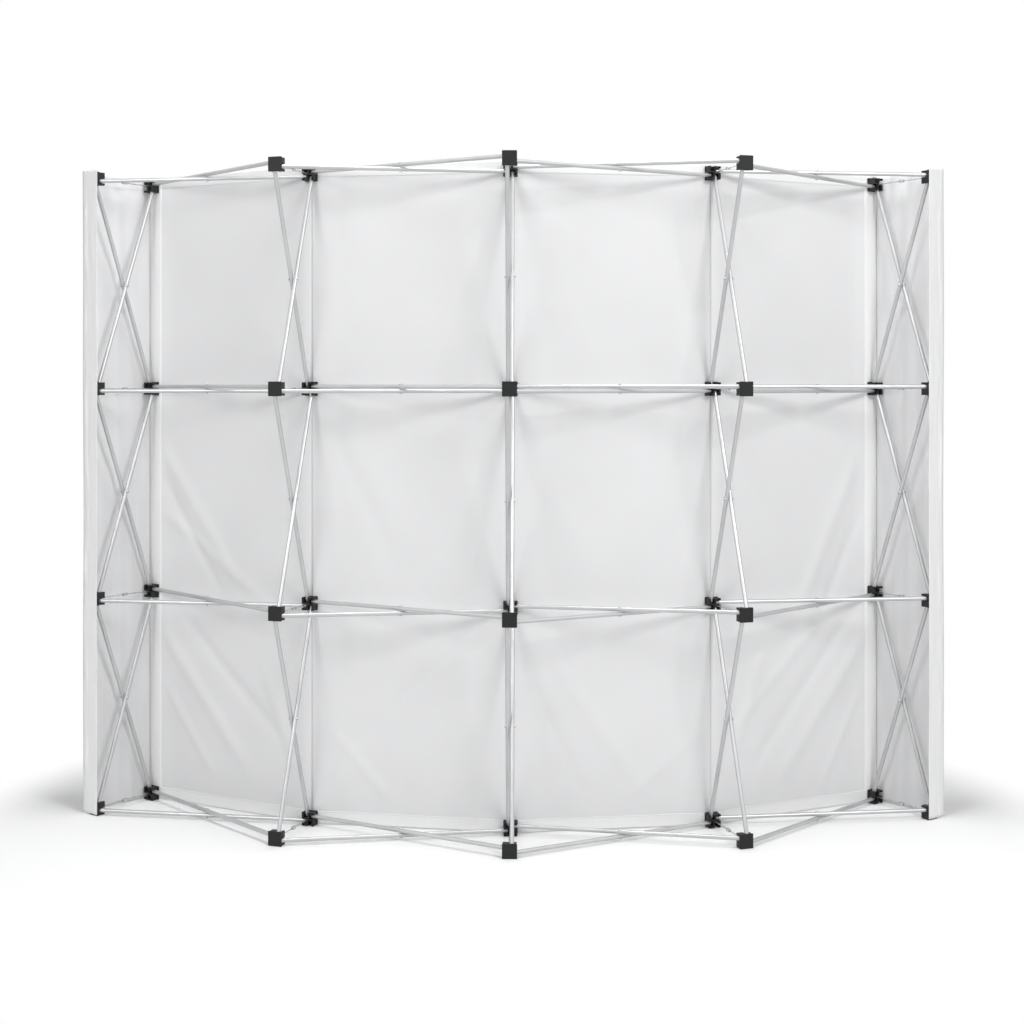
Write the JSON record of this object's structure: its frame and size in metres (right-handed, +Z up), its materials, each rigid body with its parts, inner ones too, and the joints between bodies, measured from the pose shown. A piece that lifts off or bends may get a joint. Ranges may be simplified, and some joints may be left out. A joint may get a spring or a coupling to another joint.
{
  "type": "pop up display backwall",
  "caption": "curved folding display wall: aluminium scissor tubes pinned to plastic hubs, with a white fabric front that wraps round both ends",
  "frame": {"origin": "on the floor, under the middle of the bounding box of the open wall", "axes": "+X along the width, +Y towards the rear, where the bare frame is, +Z up; the fabric faces -Y"},
  "size_m": [3.0014, 0.71, 2.246],
  "materials": {
    "column": "charcoal moulded hubs, with anodised tubes between them",
    "hub": "charcoal moulded plastic",
    "tube": "satin anodised",
    "fabric": "white woven polyester"
  },
  "bodies": {
    "rear_1": {"rear_column_1": "column"},
    "front_1": {"front_hub_1_1": "hub", "front_hub_1_2": "hub", "front_hub_1_3": "hub", "front_hub_1_4": "hub"},
    "rear_2": {"rear_column_2": "column"},
    "front_2": {"front_hub_2_1": "hub", "front_hub_2_2": "hub", "front_hub_2_3": "hub", "front_hub_2_4": "hub"},
    "rear_3": {"rear_column_3": "column"},
    "front_3": {"front_hub_3_1": "hub", "front_hub_3_2": "hub", "front_hub_3_3": "hub", "front_hub_3_4": "hub", "fabric_front": "fabric"},
    "rear_4": {"rear_column_4": "column"},
    "front_4": {"front_hub_4_1": "hub", "front_hub_4_2": "hub", "front_hub_4_3": "hub", "front_hub_4_4": "hub"},
    "rear_5": {"rear_column_5": "column"},
    "front_5": {"front_hub_5_1": "hub", "front_hub_5_2": "hub", "front_hub_5_3": "hub", "front_hub_5_4": "hub"},
    "upper_tubes_1": {"upper_tube_1_1": "tube", "upper_tube_1_2": "tube", "upper_tube_1_3": "tube", "upper_tube_1_4": "tube"},
    "lower_tubes_1": {"lower_tube_1_1": "tube", "lower_tube_1_2": "tube", "lower_tube_1_3": "tube", "lower_tube_1_4": "tube"},
    "upper_tubes_2": {"upper_tube_2_1": "tube", "upper_tube_2_2": "tube", "upper_tube_2_3": "tube", "upper_tube_2_4": "tube"},
    "lower_tubes_2": {"lower_tube_2_1": "tube", "lower_tube_2_2": "tube", "lower_tube_2_3": "tube", "lower_tube_2_4": "tube"},
    "upper_tubes_3": {"upper_tube_3_1": "tube", "upper_tube_3_2": "tube", "upper_tube_3_3": "tube", "upper_tube_3_4": "tube"},
    "lower_tubes_3": {"lower_tube_3_1": "tube", "lower_tube_3_2": "tube", "lower_tube_3_3": "tube", "lower_tube_3_4": "tube"},
    "upper_tubes_4": {"upper_tube_4_1": "tube", "upper_tube_4_2": "tube", "upper_tube_4_3": "tube", "upper_tube_4_4": "tube"},
    "lower_tubes_4": {"lower_tube_4_1": "tube", "lower_tube_4_2": "tube", "lower_tube_4_3": "tube", "lower_tube_4_4": "tube"},
    "end_flap_left": {"fabric_end_left": "fabric"},
    "end_flap_right": {"fabric_end_right": "fabric"}
  },
  "joints": [
    {"name": "frame_fold", "type": "hinge", "parent": "rear_3", "child": "upper_tubes_3", "pos_m": [0.014, 0.34104, 0.024], "axis": [0, 0, -1], "range_deg": [0, 60.12], "deforming": ["fabric_front", "fabric_end_left", "fabric_end_right"]},
    {"name": "front_4_turn", "type": "hinge", "parent": "upper_tubes_3", "child": "front_4", "pos_m": [0.67077, -0.00638, 0.024], "axis": [0, 0, 1], "range_deg": [0, 77.89]},
    {"name": "lower_tubes_4_turn", "type": "hinge", "parent": "front_4", "child": "lower_tubes_4", "pos_m": [0.6974, -0.01504, 0.024], "axis": [0, 0, 1], "range_deg": [0, 77.89]},
    {"name": "rear_5_turn", "type": "hinge", "parent": "lower_tubes_4", "child": "rear_5", "pos_m": [1.43295, -0.12, 0.024], "axis": [0, 0, -1], "range_deg": [0, 60.12]},
    {"name": "lower_tubes_2_turn", "type": "hinge", "parent": "rear_3", "child": "lower_tubes_2", "pos_m": [-0.014, 0.34104, 0.024], "axis": [0, 0, 1], "range_deg": [0, 60.12]},
    {"name": "front_2_turn", "type": "hinge", "parent": "lower_tubes_2", "child": "front_2", "pos_m": [-0.67077, -0.00638, 0.024], "axis": [0, 0, -1], "range_deg": [0, 77.89]},
    {"name": "upper_tubes_1_turn", "type": "hinge", "parent": "front_2", "child": "upper_tubes_1", "pos_m": [-0.6974, -0.01504, 0.024], "axis": [0, 0, -1], "range_deg": [0, 77.89]},
    {"name": "rear_1_turn", "type": "hinge", "parent": "upper_tubes_1", "child": "rear_1", "pos_m": [-1.43295, -0.12, 0.024], "axis": [0, 0, 1], "range_deg": [0, 60.12]},
    {"name": "front_3_slide", "type": "slide", "parent": "rear_3", "child": "front_3", "axis": [0, -1, 0], "range_m": [0, 0.4991]},
    {"name": "lower_tubes_3_turn", "type": "hinge", "parent": "front_3", "child": "lower_tubes_3", "pos_m": [0.014, 0.09764, 0.024], "axis": [0, 0, 1], "range_deg": [0, 77.89]},
    {"name": "rear_4_turn", "type": "hinge", "parent": "lower_tubes_3", "child": "rear_4", "pos_m": [0.74598, 0.22511, 0.024], "axis": [0, 0, -1], "range_deg": [0, 60.12]},
    {"name": "upper_tubes_4_turn", "type": "hinge", "parent": "rear_4", "child": "upper_tubes_4", "pos_m": [0.77261, 0.21645, 0.024], "axis": [0, 0, -1], "range_deg": [0, 60.12]},
    {"name": "front_5_turn", "type": "hinge", "parent": "upper_tubes_4", "child": "front_5", "pos_m": [1.28988, -0.31692, 0.024], "axis": [0, 0, 1], "range_deg": [0, 77.89]},
    {"name": "upper_tubes_2_turn", "type": "hinge", "parent": "front_3", "child": "upper_tubes_2", "pos_m": [-0.014, 0.09764, 0.024], "axis": [0, 0, -1], "range_deg": [0, 77.89]},
    {"name": "rear_2_turn", "type": "hinge", "parent": "upper_tubes_2", "child": "rear_2", "pos_m": [-0.74598, 0.22511, 0.024], "axis": [0, 0, 1], "range_deg": [0, 60.12]},
    {"name": "lower_tubes_1_turn", "type": "hinge", "parent": "rear_2", "child": "lower_tubes_1", "pos_m": [-0.77261, 0.21645, 0.024], "axis": [0, 0, 1], "range_deg": [0, 60.12]},
    {"name": "front_1_turn", "type": "hinge", "parent": "lower_tubes_1", "child": "front_1", "pos_m": [-1.28988, -0.31692, 0.024], "axis": [0, 0, -1], "range_deg": [0, 77.89]},
    {"name": "end_right_peel", "type": "hinge", "parent": "front_5", "child": "end_flap_right", "pos_m": [1.31254, -0.35353, 0.024], "axis": [0, 0, -1], "range_deg": [0, 120]},
    {"name": "end_left_peel", "type": "hinge", "parent": "front_1", "child": "end_flap_left", "pos_m": [-1.31254, -0.35353, 0.024], "axis": [0, 0, 1], "range_deg": [0, 120]}
  ],
  "couplings": [
    {"joint": "front_4_turn", "follows": "frame_fold", "ratio": 1.2956},
    {"joint": "lower_tubes_4_turn", "follows": "frame_fold", "ratio": 1.2956},
    {"joint": "rear_5_turn", "follows": "frame_fold", "ratio": 1},
    {"joint": "lower_tubes_2_turn", "follows": "frame_fold", "ratio": 1},
    {"joint": "front_2_turn", "follows": "frame_fold", "ratio": 1.2956},
    {"joint": "upper_tubes_1_turn", "follows": "frame_fold", "ratio": 1.2956},
    {"joint": "rear_1_turn", "follows": "frame_fold", "ratio": 1},
    {"joint": "front_3_slide", "follows": "frame_fold", "m_per_rad": 0.47568},
    {"joint": "lower_tubes_3_turn", "follows": "frame_fold", "ratio": 1.2956},
    {"joint": "rear_4_turn", "follows": "frame_fold", "ratio": 1},
    {"joint": "upper_tubes_4_turn", "follows": "frame_fold", "ratio": 1},
    {"joint": "front_5_turn", "follows": "frame_fold", "ratio": 1.2956},
    {"joint": "upper_tubes_2_turn", "follows": "frame_fold", "ratio": 1.2956},
    {"joint": "rear_2_turn", "follows": "frame_fold", "ratio": 1},
    {"joint": "lower_tubes_1_turn", "follows": "frame_fold", "ratio": 1},
    {"joint": "front_1_turn", "follows": "frame_fold", "ratio": 1.2956}
  ]
}
